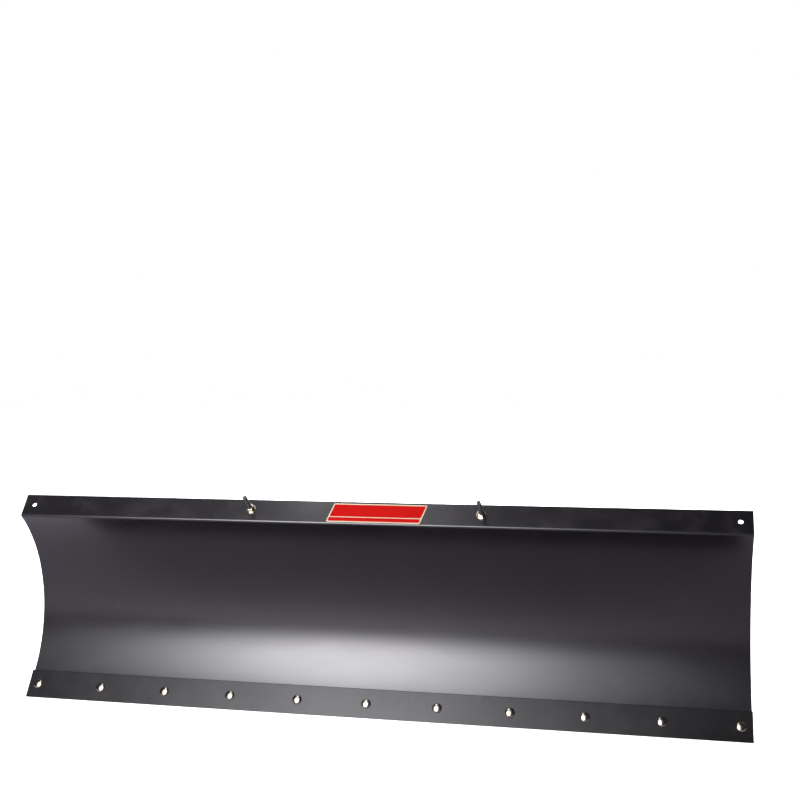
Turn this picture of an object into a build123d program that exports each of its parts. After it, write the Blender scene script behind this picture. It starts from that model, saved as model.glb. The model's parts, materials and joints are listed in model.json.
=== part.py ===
from build123d import *
import os
from math import cos, radians, sin, sqrt

# A 62 inch snow plow blade for an ATV or UTV: a rolled steel moldboard with a wear bar along its
# foot, hung on trip hinges from a frame that swivels on the nose of a push frame, which in turn
# hangs by two pins from a plate bolted under the vehicle.
#
# Millimetres, +Z up. The blade runs along X and pushes towards -Y. The origin is on the ground,
# under the middle of the cutting edge. "Left" is -X, as seen by someone facing the blade's front.

# Driving dimensions -----------------------------------------------------------------------------
blade_width = 1575.0
sheet = 3.0
arc_radius = 278.5
edge_lean = 31.5        # degrees the wear bar leans back from upright
fold_lean = 50.2        # degrees the sheet leans forward from upright where it meets the flange
flange_length = 55.0
flange_lean = 36.4      # degrees the top flange leans back from upright
flat_length = 64.5      # flat foot of the sheet, measured up from the ground

wear_thickness = 6.0
wear_height = 64.0
wear_length = 1578.0
wear_bolt_count = 11
wear_bolt_pitch = 153.2
wear_bolt_height = 31.5

spring_x = 250.0        # springs, hinges and posts stand this far from the middle
outer_rib_x = 440.0
hinge_y = 93.0
hinge_z = 101.0
king_y = 236.0
pivot_y = 1251.0        # where the push frame hangs from the vehicle plate
pivot_z = 237.0
pivot_x = 150.0
middle_brace_y = 830.0
rear_brace_y = 1150.0
shoe_x = 620.0
shoe_y = 142.0
marker_x = 762.5        # holes for snow markers, near each end of the flange

run = 0.05              # radial running clearance of every moving pin
SIDES = {"left": -1, "right": 1}

# Fasteners --------------------------------------------------------------------------------------
bolt_r = 4.75           # 3/8 inch bolts
nut_flats = 14.3
nut_thick = 8.3
pin_r = 8.0             # 5/8 inch hinge and mount pins
king_r = 9.5            # 3/4 inch king bolt
linch_r = 3.0           # linch pins of the shoes and the mount
wire_r = 2.5            # trip spring wire
tube_corner = 5.0       # outer corner radius of the square tubes


# Helpers ----------------------------------------------------------------------------------------
def lean_up(angle):
    """Unit vector (y, z) that points up a surface leaning back by angle degrees."""
    return Vector(sin(radians(angle)), cos(radians(angle)))


def lean_back(angle):
    """Unit vector (y, z) that points through that surface, to its rear."""
    return Vector(cos(radians(angle)), -sin(radians(angle)))


def across(x, point, z_dir=(1, 0, 0)):
    """Plane at x, at the (y, z) point, with its normal along z_dir."""
    side = (0, 1, 0) if abs(z_dir[0]) > 0.5 else (1, 0, 0)
    return Plane(origin=(x, point.X, point.Y), x_dir=side, z_dir=z_dir)


def rod(x, point, radius, length, direction=(1, 0, 0)):
    """Cylinder centred on x and the (y, z) point, along direction."""
    return across(x, point, direction) * Cylinder(radius, length)


def plate(sketch, x, thickness):
    """Plate standing across the blade: a (y, z) sketch, thickened along X about x."""
    return extrude(Plane.YZ.offset(x - thickness / 2) * sketch, thickness)


def deck(sketch, z_low, thickness):
    """Level plate: an (x, y) sketch, thickened upwards from z_low."""
    return extrude(Plane.XY.offset(z_low) * sketch, thickness)


def block(x, y, z, size_x, size_y, size_z):
    return Pos(x, y, z) * Box(size_x, size_y, size_z)


def square_tube(size, wall, length):
    """Square tube with rounded corners, along its own Z, centred. A wall of 0 gives the solid outline."""
    section = RectangleRounded(size, size, tube_corner)
    if wall:
        section -= RectangleRounded(size - 2 * wall, size - 2 * wall, tube_corner - wall / 2)
    return Pos(0, 0, -length / 2) * extrude(section, length)


def hex_nut(flats, thick, bore):
    """Nut standing on its own XY plane, with both rims eased."""
    point_r = flats / 2 / cos(radians(30))
    ease = (point_r - flats / 2) * 0.9
    body = extrude(RegularPolygon(point_r, 6), thick)
    round_body = chamfer(Cylinder(point_r, thick).edges().filter_by(GeomType.CIRCLE), ease * 0.6, ease)
    return (body & Pos(0, 0, thick / 2) * round_body) - Cylinder(bore, 3 * thick)


def washer(outer, inner, thick):
    """Washer standing on its own XY plane."""
    return Pos(0, 0, thick / 2) * (Cylinder(outer, thick) - Cylinder(inner, thick))


def linch_pin(radius, length):
    """Linch pin whose shank runs along its own Z from 0 to length, with its snap ring folded back."""
    head_r, head_thick, ring_r, ring_wire = radius * 2.1, radius * 2.4, length * 0.42, 1.6
    shank = Pos(0, 0, length / 2) * Cylinder(radius, length)
    head = Pos(0, 0, length + head_thick / 2) * Cylinder(head_r, head_thick)
    ring = Pos(ring_r, 0, length + head_thick / 2) * Rot(90, 0, 0) * Torus(ring_r, ring_wire)
    return shank + head + ring


# Blade profile, in (y, z) -----------------------------------------------------------------------
edge_up, edge_back = lean_up(edge_lean), lean_back(edge_lean)
flange_up, flange_back = lean_up(flange_lean), lean_back(flange_lean)
wear_foot = Vector(-wear_thickness / 2 / cos(radians(edge_lean)), 0)    # front bottom edge of the bar
sheet_foot = wear_foot + edge_back * wear_thickness
arc_foot = sheet_foot + edge_up * flat_length
arc_centre = arc_foot - edge_back * arc_radius
sheet_start = 16.0      # the sheet stops this far up the wear bar
rear_radius = arc_radius + sheet


def on_arc(radius, lean):
    """Point (y, z) at a radius from the roll's centre, where the sheet leans back by lean degrees."""
    return arc_centre + lean_back(lean) * radius


fold = on_arc(arc_radius, -fold_lean)
flange_top = fold + flange_up * flange_length
eye_hole = fold + flange_up * 30.5
marker_hole = fold + flange_up * 29.5
marker_r = 5.25
fold_r = 4.5            # inside of the bend between roll and flange


def moldboard_profile():
    """Outline of the sheet: flat foot, roll, and flange folded back on top, with both bends rounded."""
    foot = sheet_foot + edge_up * sheet_start
    rear_foot = foot + edge_back * sheet
    rear_arc_foot = arc_foot + edge_back * sheet
    rear_top = flange_top + flange_back * sheet
    ahead = rear_top - arc_centre
    along = flange_up.dot(ahead)
    drop = along - sqrt(along**2 - ahead.length**2 + rear_radius**2)
    rear_fold = rear_top - flange_up * drop
    middle_lean = (edge_lean - fold_lean) / 2
    outline = Line(foot, arc_foot) + ThreePointArc(arc_foot, on_arc(arc_radius, middle_lean), fold)
    outline += Line(fold, flange_top) + Line(flange_top, rear_top) + Line(rear_top, rear_fold)
    outline += ThreePointArc(rear_fold, on_arc(rear_radius, middle_lean), rear_arc_foot)
    outline += Line(rear_arc_foot, rear_foot) + Line(rear_foot, foot)
    face = make_face(outline)
    face = fillet(face.vertices().sort_by_distance((fold.X, fold.Y, 0))[0], fold_r)
    return fillet(face.vertices().sort_by_distance((rear_fold.X, rear_fold.Y, 0))[0], fold_r - sheet)


wear_bolt_xs = [(i - (wear_bolt_count - 1) / 2) * wear_bolt_pitch for i in range(wear_bolt_count)]
wear_bolt_at = wear_foot + edge_up * wear_bolt_height    # on the bar's front face
edge_out = (0, -edge_back.X, -edge_back.Y)               # out of the bar's front face
flange_out = (0, -flange_back.X, -flange_back.Y)


def moldboard():
    body = extrude(Plane.YZ * moldboard_profile(), blade_width / 2, both=True)
    cuts = [rod(x, wear_bolt_at, bolt_r + 0.5, 40, edge_out) for x in wear_bolt_xs]
    cuts += [rod(s * spring_x, eye_hole, bolt_r + 0.6, 20, flange_out) for s in SIDES.values()]
    cuts += [rod(s * marker_x, marker_hole, marker_r, 20, flange_out) for s in SIDES.values()]
    return body - cuts


# Wear bar and its fasteners ---------------------------------------------------------------------
def strip(front_bottom, height, depth, up, back):
    """Outline of a leaning bar: from its front bottom corner, height up and depth back."""
    front_top = front_bottom + up * height
    return make_face(Polyline(front_bottom, front_top, front_top + back * depth, front_bottom + back * depth,
                              close=True))


def wear_bar():
    """Flat bar whose foot is ground level, with a square hole for each bolt's neck."""
    spare = wear_thickness      # length below the ground that is cut away
    outline = strip(wear_foot - edge_up * spare, wear_height + spare, wear_thickness, edge_up, edge_back)
    bar = extrude(Plane.YZ * outline, wear_length / 2, both=True)
    bar -= block(0, 0, -50, 2 * wear_length, 200, 100)
    square = 2 * (bolt_r + 0.25)
    return bar - [across(x, wear_bolt_at, edge_out) * Box(square, square, 40) for x in wear_bolt_xs]


stiffener_leg = 38.0
stiffener_thick = 5.0
stiffener_top = 56.0    # height of the ledge up the wear bar's line
stiffener_short = 12.0  # how far each end stops short of the sheet's
clamped = wear_thickness + sheet + stiffener_thick


def bottom_stiffener():
    """Steel angle behind the foot of the sheet: one leg bolted through, the other a ledge to the rear."""
    back_of_sheet = sheet_foot + edge_back * sheet
    leg = strip(back_of_sheet + edge_up * (stiffener_top - stiffener_leg), stiffener_leg,
                stiffener_thick, edge_up, edge_back)
    ledge = strip(back_of_sheet + edge_up * (stiffener_top - stiffener_thick), stiffener_thick,
                  stiffener_leg, edge_up, edge_back)
    angle = extrude(Plane.YZ * (leg + ledge), blade_width / 2 - stiffener_short, both=True)
    return angle - [rod(x, wear_bolt_at, bolt_r + 0.5, 60, edge_out) for x in wear_bolt_xs]


bolt_washer_thick = 1.6


def carriage_bolt(x):
    """Dome head, square neck and plain shank, through the bar, sheet and stiffener."""
    head_r, head_high = 10.2, 4.6
    dome_r = (head_r**2 + head_high**2) / 2 / head_high
    dome = (Pos(0, 0, head_high - dome_r) * Sphere(dome_r)) & (Pos(0, 0, 10) * Box(40, 40, 20))
    neck = Pos(0, 0, -2.5) * Box(2 * bolt_r, 2 * bolt_r, 5)
    shank_length = clamped + nut_thick + 6
    shank = Pos(0, 0, -shank_length / 2) * Cylinder(bolt_r, shank_length)
    shank = chamfer(shank.edges().sort_by(Axis.Z)[0], 1)
    return across(x, wear_bolt_at, edge_out) * (dome + neck + shank)


def wear_bar_nut(x):
    """Hex nut on a washer, on the stiffener's rear face."""
    nut = Pos(0, 0, bolt_washer_thick) * hex_nut(nut_flats, nut_thick, bolt_r + 0.05)
    nut += washer(10.5, bolt_r + 0.3, bolt_washer_thick)
    back = (0, edge_back.X, edge_back.Y)
    return across(x, wear_bolt_at + edge_back * clamped, back) * nut


# Ribs and the shoe brackets behind the sheet ----------------------------------------------------
rib_depth = 35.0
rib_thick = 6.0
rib_half_gap = 20.0


def rib_sketch(depth=rib_depth, low_lean=60.0, high_lean=-45.0):
    """Curved rib against the sheet, standing on the stiffener's ledge. Leans bound it below and above."""
    ring = Pos(arc_centre.X, arc_centre.Y) * (Circle(rear_radius + depth) - Circle(rear_radius))
    reach = 1.5 * rear_radius
    low, high = lean_back(low_lean) * reach, lean_back(high_lean) * reach
    far = Vector(reach, 0)
    wedge = make_face(Polyline(arc_centre, arc_centre + low, arc_centre + low + far,
                               arc_centre + high + far, arc_centre + high, close=True))
    ledge_line = sheet_foot + edge_up * stiffener_top
    above_ledge = strip(ledge_line - edge_back * 200, 900, 700, edge_up, edge_back)
    flat = strip(sheet_foot, flat_length, sheet, edge_up, edge_back)
    return (ring & wedge & above_ledge) - flat


def hinge_ribs(side):
    """Two ribs each side of a spring, with a lobe round the trip hinge pin."""
    lobe = Pos(hinge_y, hinge_z) * Circle(21) - Pos(arc_centre.X, arc_centre.Y) * Circle(rear_radius)
    sketch = rib_sketch() + lobe - Pos(hinge_y, hinge_z) * Circle(pin_r + run)
    middle = side * spring_x
    offset = rib_half_gap + rib_thick / 2
    return [plate(sketch, middle + k * offset, rib_thick) for k in (-1, 1)]


def middle_rib():
    return plate(rib_sketch(), 0, rib_thick)


sleeve_r, sleeve_low, sleeve_high = 15.0, 88.0, 158.0
stem_r = 9.5
spacer_r = 17.0


def shoe_bracket(side):
    """Gusset behind the sheet with an upright sleeve for the shoe's stem."""
    x = side * shoe_x
    clear = shoe_y - spacer_r - 5       # the gusset keeps this side of the loose spacers and the linch pin
    low, high = sleeve_low + 4, sleeve_high - 4
    outline = Polyline((0, 0), (clear, low), (shoe_y, low), (shoe_y, high), (clear, high),
                       (clear - 6, high + 54), (60, 420), (0, 420), close=True)
    gusset = rib_sketch(depth=120, high_lean=-30) & make_face(outline)
    bore = Pos(x, shoe_y, 0) * Cylinder(stem_r + run, 800)
    sleeve = Pos(x, shoe_y, (sleeve_low + sleeve_high) / 2) * Cylinder(sleeve_r, sleeve_high - sleeve_low)
    return plate(gusset, x, rib_thick) + sleeve - bore


def outer_ribs():
    return [plate(rib_sketch(), s * outer_rib_x, rib_thick) for s in SIDES.values()]


# Skid shoes -------------------------------------------------------------------------------------
spacer_thick = 6.0
spacers_below, spacers_above = 4, 2
shoe_drop = 12.0
boss_top = sleeve_low - spacers_below * spacer_thick
stored_top = sleeve_high + spacers_above * spacer_thick
shoe_pin_z = stored_top + shoe_drop + linch_r


stem_low = 12.0         # the stem's foot, inside the shoe's boss


def skid_shoe(side):
    """Pressed dish with a boss that the stem is welded into."""
    dish = make_face(Polyline((0, 0), (36, 0), (58, 14), (58, 19), (55, 19), (34, 6), (0, 6), close=True))
    dish = fillet(dish.vertices().sort_by_distance((36, 0, 0))[0], 12)
    boss = Pos(0, 0, (boss_top + 5) / 2) * Cylinder(sleeve_r, boss_top - 5)
    bore = Pos(0, 0, stem_low + 100) * Cylinder(stem_r, 200)
    return Pos(side * shoe_x, shoe_y, 0) * (revolve(Plane.XZ * dish, Axis.Z) + boss - bore)


def shoe_stem(side):
    """Round stem with a cross hole for the linch pin near its top."""
    low, high = stem_low, shoe_pin_z + 12
    stem = Pos(0, 0, (low + high) / 2) * Cylinder(stem_r, high - low)
    stem = chamfer(stem.edges().sort_by(Axis.Z)[-1], 1.5)
    stem -= Pos(0, 0, shoe_pin_z) * Rot(90, 0, 0) * Cylinder(linch_r + 0.1, 60)
    return Pos(side * shoe_x, shoe_y, 0) * stem


def spacers(side, low, count):
    """A stack of loose spacer washers on the stem, standing at height low."""
    ring = washer(spacer_r, stem_r + 0.4, spacer_thick - 0.1)
    return [Pos(side * shoe_x, shoe_y, low + i * spacer_thick) * ring for i in range(count)]


def shoe_linch_pin(side):
    pin = Pos(0, -16, 0) * Rot(-90, 0, 0) * linch_pin(linch_r, 34)
    return Pos(side * shoe_x, shoe_y, shoe_pin_z) * pin


# Spring eyebolts on the flange ------------------------------------------------------------------
eye_r, eye_reach, stud_reach = 12.5, 50.0, 50.0
eye_centre = eye_hole + flange_back * eye_reach
eye_washer_thick = 2.0


def spring_eyebolt(side):
    """Round eye behind the flange and a long stud out through its front."""
    x = side * spring_x
    ring = across(x, eye_centre) * Torus(eye_r, bolt_r)
    middle = eye_hole + flange_back * ((eye_reach - eye_r - stud_reach) / 2)
    stud = rod(x, middle, bolt_r, eye_reach - eye_r + stud_reach, flange_out)
    tip = stud.edges().filter_by(GeomType.CIRCLE).sort_by(Axis.Y)[0]
    return chamfer(tip, 1.2) + ring


def eyebolt_nuts(side):
    """One nut and washer on each face of the flange."""
    nut = Pos(0, 0, eye_washer_thick) * hex_nut(nut_flats, nut_thick, bolt_r + 0.05)
    rear = eye_hole + flange_back * sheet
    return [across(side * spring_x, eye_hole, flange_out) * nut,
            across(side * spring_x, rear, (0, flange_back.X, flange_back.Y)) * nut]


def eyebolt_washers(side):
    ring = washer(11, bolt_r + 0.3, eye_washer_thick)
    rear = eye_hole + flange_back * sheet
    return [across(side * spring_x, eye_hole, flange_out) * ring,
            across(side * spring_x, rear, (0, flange_back.X, flange_back.Y)) * ring]


def flange_decal():
    """Thin blank plate on the front of the flange, with raked ends."""
    middle_x, width, height, rake, thick = 27.0, 196.0, 42.0, 12.0, 0.6
    low, high, half = 8.5 - flange_length / 2, 8.5 + height - flange_length / 2, width / 2
    outline = Polyline((-half - rake / 2, low), (half - rake / 2, low),
                       (half + rake / 2, high), (-half + rake / 2, high), close=True)
    face = make_face(outline)
    face = fillet(face.vertices(), 3)
    middle = fold + flange_up * (flange_length / 2)
    on_flange = Plane(origin=(middle_x, middle.X, middle.Y), x_dir=(1, 0, 0), z_dir=flange_out)
    return on_flange * extrude(face, thick)


# Trip springs -----------------------------------------------------------------------------------
spring_length = 190.0   # eye centre to anchor hole
loop_r, coil_r = 14.0, 14.5
coil_pitch = 2 * wire_r + 0.4
anchor_r = 6.0
anchor = eye_centre + flange_back * spring_length
post_thick = 8.0


def spring_hook(coil_end, away, heading):
    """Wire path from a coil's last turn into a full loop; away is -1 before the coil and 1 after it."""
    near = coil_end + away * 3
    middle, far = near + away * loop_r, near + away * 2 * loop_r
    tip_x = 0.55 * loop_r
    tip_z = middle - away * sqrt(loop_r**2 - tip_x**2)
    enter = Spline((coil_r, 0, coil_end), (0, 0, near), tangents=[heading, (-1, 0, 0)])
    curl = ThreePointArc((0, 0, near), (-loop_r, 0, middle), (0, 0, far))
    close = ThreePointArc((0, 0, far), (loop_r, 0, middle), (tip_x, 0, tip_z))
    return [enter, curl, close]


def trip_spring(side):
    """Close-wound extension spring with a full loop at each end, along its own Z from the eye."""
    start = eye_r - bolt_r - wire_r - 0.3 + 2 * loop_r + 3
    end = spring_length - (anchor_r - wire_r - 0.9) - 2 * loop_r - 3
    turns = int((end - start) / coil_pitch)
    coil = Pos(0, 0, start) * Helix(pitch=(end - start) / turns, height=end - start, radius=coil_r)
    path = Wire([*spring_hook(start, -1, -(coil % 0)), coil, *spring_hook(end, 1, coil % 1)])
    spring = sweep(Plane(origin=path @ 0, z_dir=path % 0) * Circle(wire_r), path=path)
    return Plane(origin=(side * spring_x, eye_centre.X, eye_centre.Y), x_dir=(1, 0, 0),
                 z_dir=(0, flange_back.X, flange_back.Y)) * spring


# Swivel frame -----------------------------------------------------------------------------------
beam_size, beam_wall = 50.0, 4.0
beam_y = 162.0
beam_half = 300.0
beam_front, beam_rear = beam_y - beam_size / 2, beam_y + beam_size / 2
beam_top = hinge_z + beam_size / 2
deck_z = hinge_z        # the swivel plate's middle height
sector_thick = 8.0
nose_gap = 40.0
lock_radius = 132.0
lock_step, lock_count = 10.0, 7
lock_r = 7.9


def swivel_beam():
    return Pos(0, beam_y, hinge_z) * Rot(0, 90, 0) * square_tube(beam_size, beam_wall, 2 * beam_half)


knuckle_r = 15.0


def hinge_knuckle(side):
    """Sleeve between two ribs, on a web welded to the beam."""
    x = side * spring_x
    web = block(x, (hinge_y + beam_front) / 2, hinge_z, 22, beam_front - hinge_y, 2 * knuckle_r)
    sleeve = rod(x, Vector(hinge_y, hinge_z), knuckle_r, 2 * rib_half_gap - 0.4)
    return web + sleeve - rod(x, Vector(hinge_y, hinge_z), pin_r + run, 100)


def spring_post(side):
    """Upright on the beam that holds the spring's lower loop, with the trip stop on its front."""
    head_r, stop_half = 15, 16
    post = make_face(Polyline((beam_front + 2, beam_top), (beam_rear - 2, beam_top),
                              (anchor.X + head_r, anchor.Y), (anchor.X, anchor.Y + 8),
                              (anchor.X - head_r, anchor.Y - 2), (stop_rear, stop_z + stop_half),
                              (stop_rear, stop_z - stop_half), close=True))
    post += Pos(anchor.X, anchor.Y) * Circle(head_r)
    post -= Pos(anchor.X, anchor.Y) * Circle(anchor_r)
    return plate(post, side * spring_x, post_thick)


stop_z = arc_centre.Y
stop_front = arc_centre.X + rear_radius + rib_depth + 0.6
stop_rear = stop_front + 10


def trip_stop(side):
    """Flat pad that the ribs rest against when the blade stands upright."""
    return block(side * spring_x, (stop_front + stop_rear) / 2, stop_z, 76, stop_rear - stop_front, 30)


def post_gusset(side):
    """Small triangular web that braces a post sideways on the beam."""
    wide, high, thick = 60, 70, 6
    inner = side * (spring_x - post_thick / 2)
    foot = inner - side * wide
    web = make_face(Polyline((inner, beam_top), (foot, beam_top), (inner, beam_top + high), close=True))
    rear = Plane(origin=(0, beam_y + thick / 2, 0), x_dir=(1, 0, 0), z_dir=(0, -1, 0))
    return extrude(rear * web, thick)


def lock_hole_at(turn):
    """Place of the lock hole that stands turn degrees round from straight behind the king bolt."""
    return Pos(lock_radius * sin(radians(turn)), king_y + lock_radius * cos(radians(turn)))


def sector_plate():
    """Swivel plate: king pin boss in the middle, an arc of lock holes behind it."""
    reach = lock_radius + 23
    root_half, waist_half, waist_y, hub_r, boss_r = 130, 60, king_y + 20, 46, 23
    wedge = make_face(Polyline((0, 0), (-reach, reach * 0.86), (-reach, reach * 1.2), (reach, reach * 1.2),
                               (reach, reach * 0.86), close=True))
    arc = Pos(0, king_y) * (Circle(reach) & wedge)
    root = make_face(Polyline((-root_half, beam_rear), (root_half, beam_rear), (waist_half, waist_y),
                              (-waist_half, waist_y), close=True))
    outline = arc + root + Pos(0, king_y) * Circle(hub_r)
    turns = [(i - (lock_count - 1) / 2) * lock_step for i in range(lock_count)]
    outline -= [lock_hole_at(turn) * Circle(lock_r + 0.5) for turn in turns]
    boss = Pos(0, king_y, deck_z) * Cylinder(boss_r, nose_gap - 0.2)
    body = deck(outline, deck_z - sector_thick / 2, sector_thick) + boss
    return body - Pos(0, king_y, deck_z) * Cylinder(king_r + run, 100)


pin_head_r, pin_head_thick = 12.5, 6.0
cotter_out = 8.0        # from the ribs' outer face to the cotter
cotter_r = 1.9


def headed_pin(side, middle, point, half, past, hole_r):
    """Pin through a joint half wide each way: head inboard, cross hole in its free end."""
    shank = rod(middle + side * past / 2, point, pin_r, 2 * half + past)
    head = rod(middle - side * (half + pin_head_thick / 2), point, pin_head_r, pin_head_thick)
    hole = Pos(middle + side * (half + past / 2), point.X, point.Y) * Cylinder(hole_r, 60)
    return shank + head - hole


def hinge_pin(side):
    """Pin through a pair of ribs and the knuckle between them, drilled for its cotter."""
    return headed_pin(side, side * spring_x, Vector(hinge_y, hinge_z), rib_half_gap + rib_thick,
                      2 * cotter_out, cotter_r + 0.2)


def hinge_cotter(side):
    """Split pin through the free end of a hinge pin, with its leg bent over."""
    leg = Cylinder(cotter_r, 30)
    eye = Pos(0, 0, 18.5) * Rot(90, 0, 0) * Torus(4.4, 1.7)
    bent = Pos(0, 0, -15) * Rot(35, 0, 0) * Pos(0, 0, -5) * Cylinder(1.6, 11)
    x = side * (spring_x + rib_half_gap + rib_thick + cotter_out)
    return Pos(x, hinge_y, hinge_z) * (leg + eye + bent)


# Push frame -------------------------------------------------------------------------------------
tube_size, tube_wall = 40.0, 3.0
cross_y = 426.0
cross_half = 125.0
nose_thick = 6.0
nose_r = 38.0
nose_low, nose_high = deck_z - nose_gap / 2, deck_z + nose_gap / 2
nose_top = nose_high + nose_thick
lock_y = king_y + lock_radius
rear_sleeve_r = 15.0
rear_sleeve_length = 48.0
tube_front_x = 85.0


def nose_plate(z_low, hole_at_lock):
    """Level plate of the nose: round over the king pin, wide over the cross member."""
    half, front, rear = cross_half - 10, cross_y - tube_size / 2, cross_y + tube_size / 2
    body = make_face(Polyline((-nose_r, king_y), (nose_r, king_y), (half, front), (half, rear), (-half, rear),
                              (-half, front), close=True))
    outline = body + Pos(0, king_y) * Circle(nose_r) - Pos(0, king_y) * Circle(king_r + run)
    if hole_at_lock:
        outline -= Pos(0, lock_y) * Circle(lock_r + run)
    return deck(outline, z_low, nose_thick)


def front_cross_member():
    return Pos(0, cross_y, deck_z) * Rot(0, 90, 0) * square_tube(tube_size, tube_wall, 2 * cross_half)


def push_tube_body(side, wall):
    """Square tube from the cross member back and up to its rear sleeve; solid if wall is 0."""
    start = Vector(side * tube_front_x, cross_y + tube_size / 2, deck_z)
    end = Vector(side * pivot_x, pivot_y, pivot_z)
    along = (end - start).normalized()
    level = Vector(along.Y, -along.X, 0).normalized()
    frame = Plane(origin=(start + end) / 2, x_dir=level, z_dir=along)
    length = (end - start).length + 60
    tube = frame * square_tube(tube_size, wall, length)
    front, rear = cross_y + tube_size / 2, pivot_y
    window = block(0, (front + rear) / 2, 200, 800, rear - front, 600)
    return tube & window


def push_tube(side):
    saddle = rod(side * pivot_x, Vector(pivot_y, pivot_z), rear_sleeve_r, rear_sleeve_length)
    return push_tube_body(side, tube_wall) - saddle


def rear_sleeve(side):
    sleeve = rod(side * pivot_x, Vector(pivot_y, pivot_z), rear_sleeve_r, rear_sleeve_length)
    return sleeve - rod(side * pivot_x, Vector(pivot_y, pivot_z), pin_r + run, 200)


def cross_brace(y):
    """Round tube between the two push tubes, coped to their sides."""
    outer_r, inner_r = 14.0, 11.5
    share = (y - cross_y - tube_size / 2) / (pivot_y - cross_y - tube_size / 2)
    z = deck_z + share * (pivot_z - deck_z)
    tube = rod(0, Vector(y, z), outer_r, 2 * pivot_x) - rod(0, Vector(y, z), inner_r, 3 * pivot_x)
    coped = tube - [push_tube_body(s, 0) for s in SIDES.values()]
    return coped.solids().sort_by(lambda solid: abs(solid.center().X))[0]


lift_eye_y, lift_eye_z, lift_eye_r = cross_y, 172.0, 8.0
lift_r, lift_thick = 18.0, 10.0


def lift_bracket():
    """Upright ear on the nose for the winch hook."""
    front, rear = lift_eye_y - lift_r, lift_eye_y + lift_r
    ear = make_face(Polyline((front - 12, nose_top), (rear + 2, nose_top), (rear, lift_eye_z),
                             (front, lift_eye_z), close=True))
    ear += Pos(lift_eye_y, lift_eye_z) * Circle(lift_r)
    return plate(ear - Pos(lift_eye_y, lift_eye_z) * Circle(lift_eye_r), 0, lift_thick)


king_flats, king_nut_thick, king_washer_thick = 28.6, 16.0, 3.0
king_washer_low = nose_low - nose_thick - king_washer_thick


def king_bolt():
    """Hex bolt down through the nose plates and the boss."""
    head_thick, thread = 12.0, 24.0
    length = nose_top - nose_low + nose_thick + thread
    head = extrude(RegularPolygon(king_flats / 2 / cos(radians(30)), 6), head_thick)
    head = chamfer(head.edges().group_by(Axis.Z)[-1], 1.5)
    shank = Pos(0, 0, -length / 2) * Cylinder(king_r, length)
    bolt = head + chamfer(shank.edges().sort_by(Axis.Z)[0], 1.5)
    return Pos(0, king_y, nose_top + king_washer_thick) * bolt


def king_washers():
    """A flat washer under the bolt's head and another above its nut."""
    ring = washer(20, king_r + 0.3, king_washer_thick)
    return [Pos(0, king_y, nose_top) * ring, Pos(0, king_y, king_washer_low) * ring]


def king_nut():
    nut = hex_nut(king_flats, king_nut_thick, king_r + 0.05)
    return Pos(0, king_y, king_washer_low - king_nut_thick) * nut


# Angle lock -------------------------------------------------------------------------------------
lock_travel = 26.0
lock_tip = deck_z + sector_thick / 2 + 4
collar_low = nose_top + lock_travel
collar_thick = 4.0
housing_r, housing_bore = 17.0, 13.5
cap_low, cap_thick = 182.0, 6.0
lock_stem_r = 5.0
handle_z = cap_low + cap_thick + lock_travel + 7


def lock_housing():
    """Round can on the nose plate that holds the lock pin's spring down."""
    can = Cylinder(housing_r, cap_low + cap_thick - nose_top)
    can = Pos(0, lock_y, (cap_low + cap_thick + nose_top) / 2) * can
    can = fillet(can.edges().sort_by(Axis.Z)[-1], 2)
    inside = Pos(0, lock_y, (cap_low + nose_top) / 2) * Cylinder(housing_bore, cap_low - nose_top)
    return can - inside - Pos(0, lock_y, 200) * Cylinder(lock_stem_r + run, 100)


def lock_pin():
    """Plunger: thick nose for the sector holes, a collar under the spring, a thin stem up to the handle."""
    nose = Pos(0, 0, (lock_tip + collar_low) / 2) * Cylinder(lock_r, collar_low - lock_tip)
    nose = chamfer(nose.edges().sort_by(Axis.Z)[0], 2)
    collar = Pos(0, 0, collar_low + collar_thick / 2) * Cylinder(12.5, collar_thick)
    top = handle_z + 7
    stem = Pos(0, 0, (collar_low + top) / 2) * Cylinder(lock_stem_r, top - collar_low)
    bore = Pos(0, 0, handle_z) * Rot(0, 90, 0) * Cylinder(3.05, 40)
    return Pos(0, lock_y, 0) * (nose + collar + stem - bore)


def lock_handle():
    """Cross bar through the top of the lock pin's stem."""
    bar = chamfer(Cylinder(3.0, 76).edges().filter_by(GeomType.CIRCLE), 1)
    return Pos(0, lock_y, handle_z) * Rot(0, 90, 0) * bar


def lock_spring():
    """Compression spring between the collar and the housing's cap."""
    turns, coil_at, wire = 6, 9.2, 1.0
    low, high = collar_low + collar_thick + wire + 0.2, cap_low - wire - 0.2
    path = Helix(pitch=(high - low) / turns, height=high - low, radius=coil_at)
    coil = sweep(Plane(origin=path @ 0, z_dir=path % 0) * Circle(wire), path=path, is_frenet=True)
    return Pos(0, lock_y, low) * coil


# Vehicle plate ----------------------------------------------------------------------------------
plate_low, plate_thick = 296.0, 6.0
plate_half_x, plate_half_y = 235.0, 75.0
slot_x, slot_y, slot_length, slot_r = 195.0, 48.0, 44.0, 6.75
ear_thick = 6.0
ear_gap = rear_sleeve_length / 2 + 0.5


def vehicle_plate():
    """Level plate with four slots for the clamp bolts, and a lightening hole."""
    outline = RectangleRounded(2 * plate_half_x, 2 * plate_half_y, 14)
    slot = SlotOverall(slot_length, 2 * slot_r)
    outline -= [Pos(i * slot_x, j * slot_y) * slot for i in (-1, 1) for j in (-1, 1)]
    outline -= SlotOverall(120, 60)
    return deck(Pos(0, pivot_y) * outline, plate_low, plate_thick)


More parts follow.
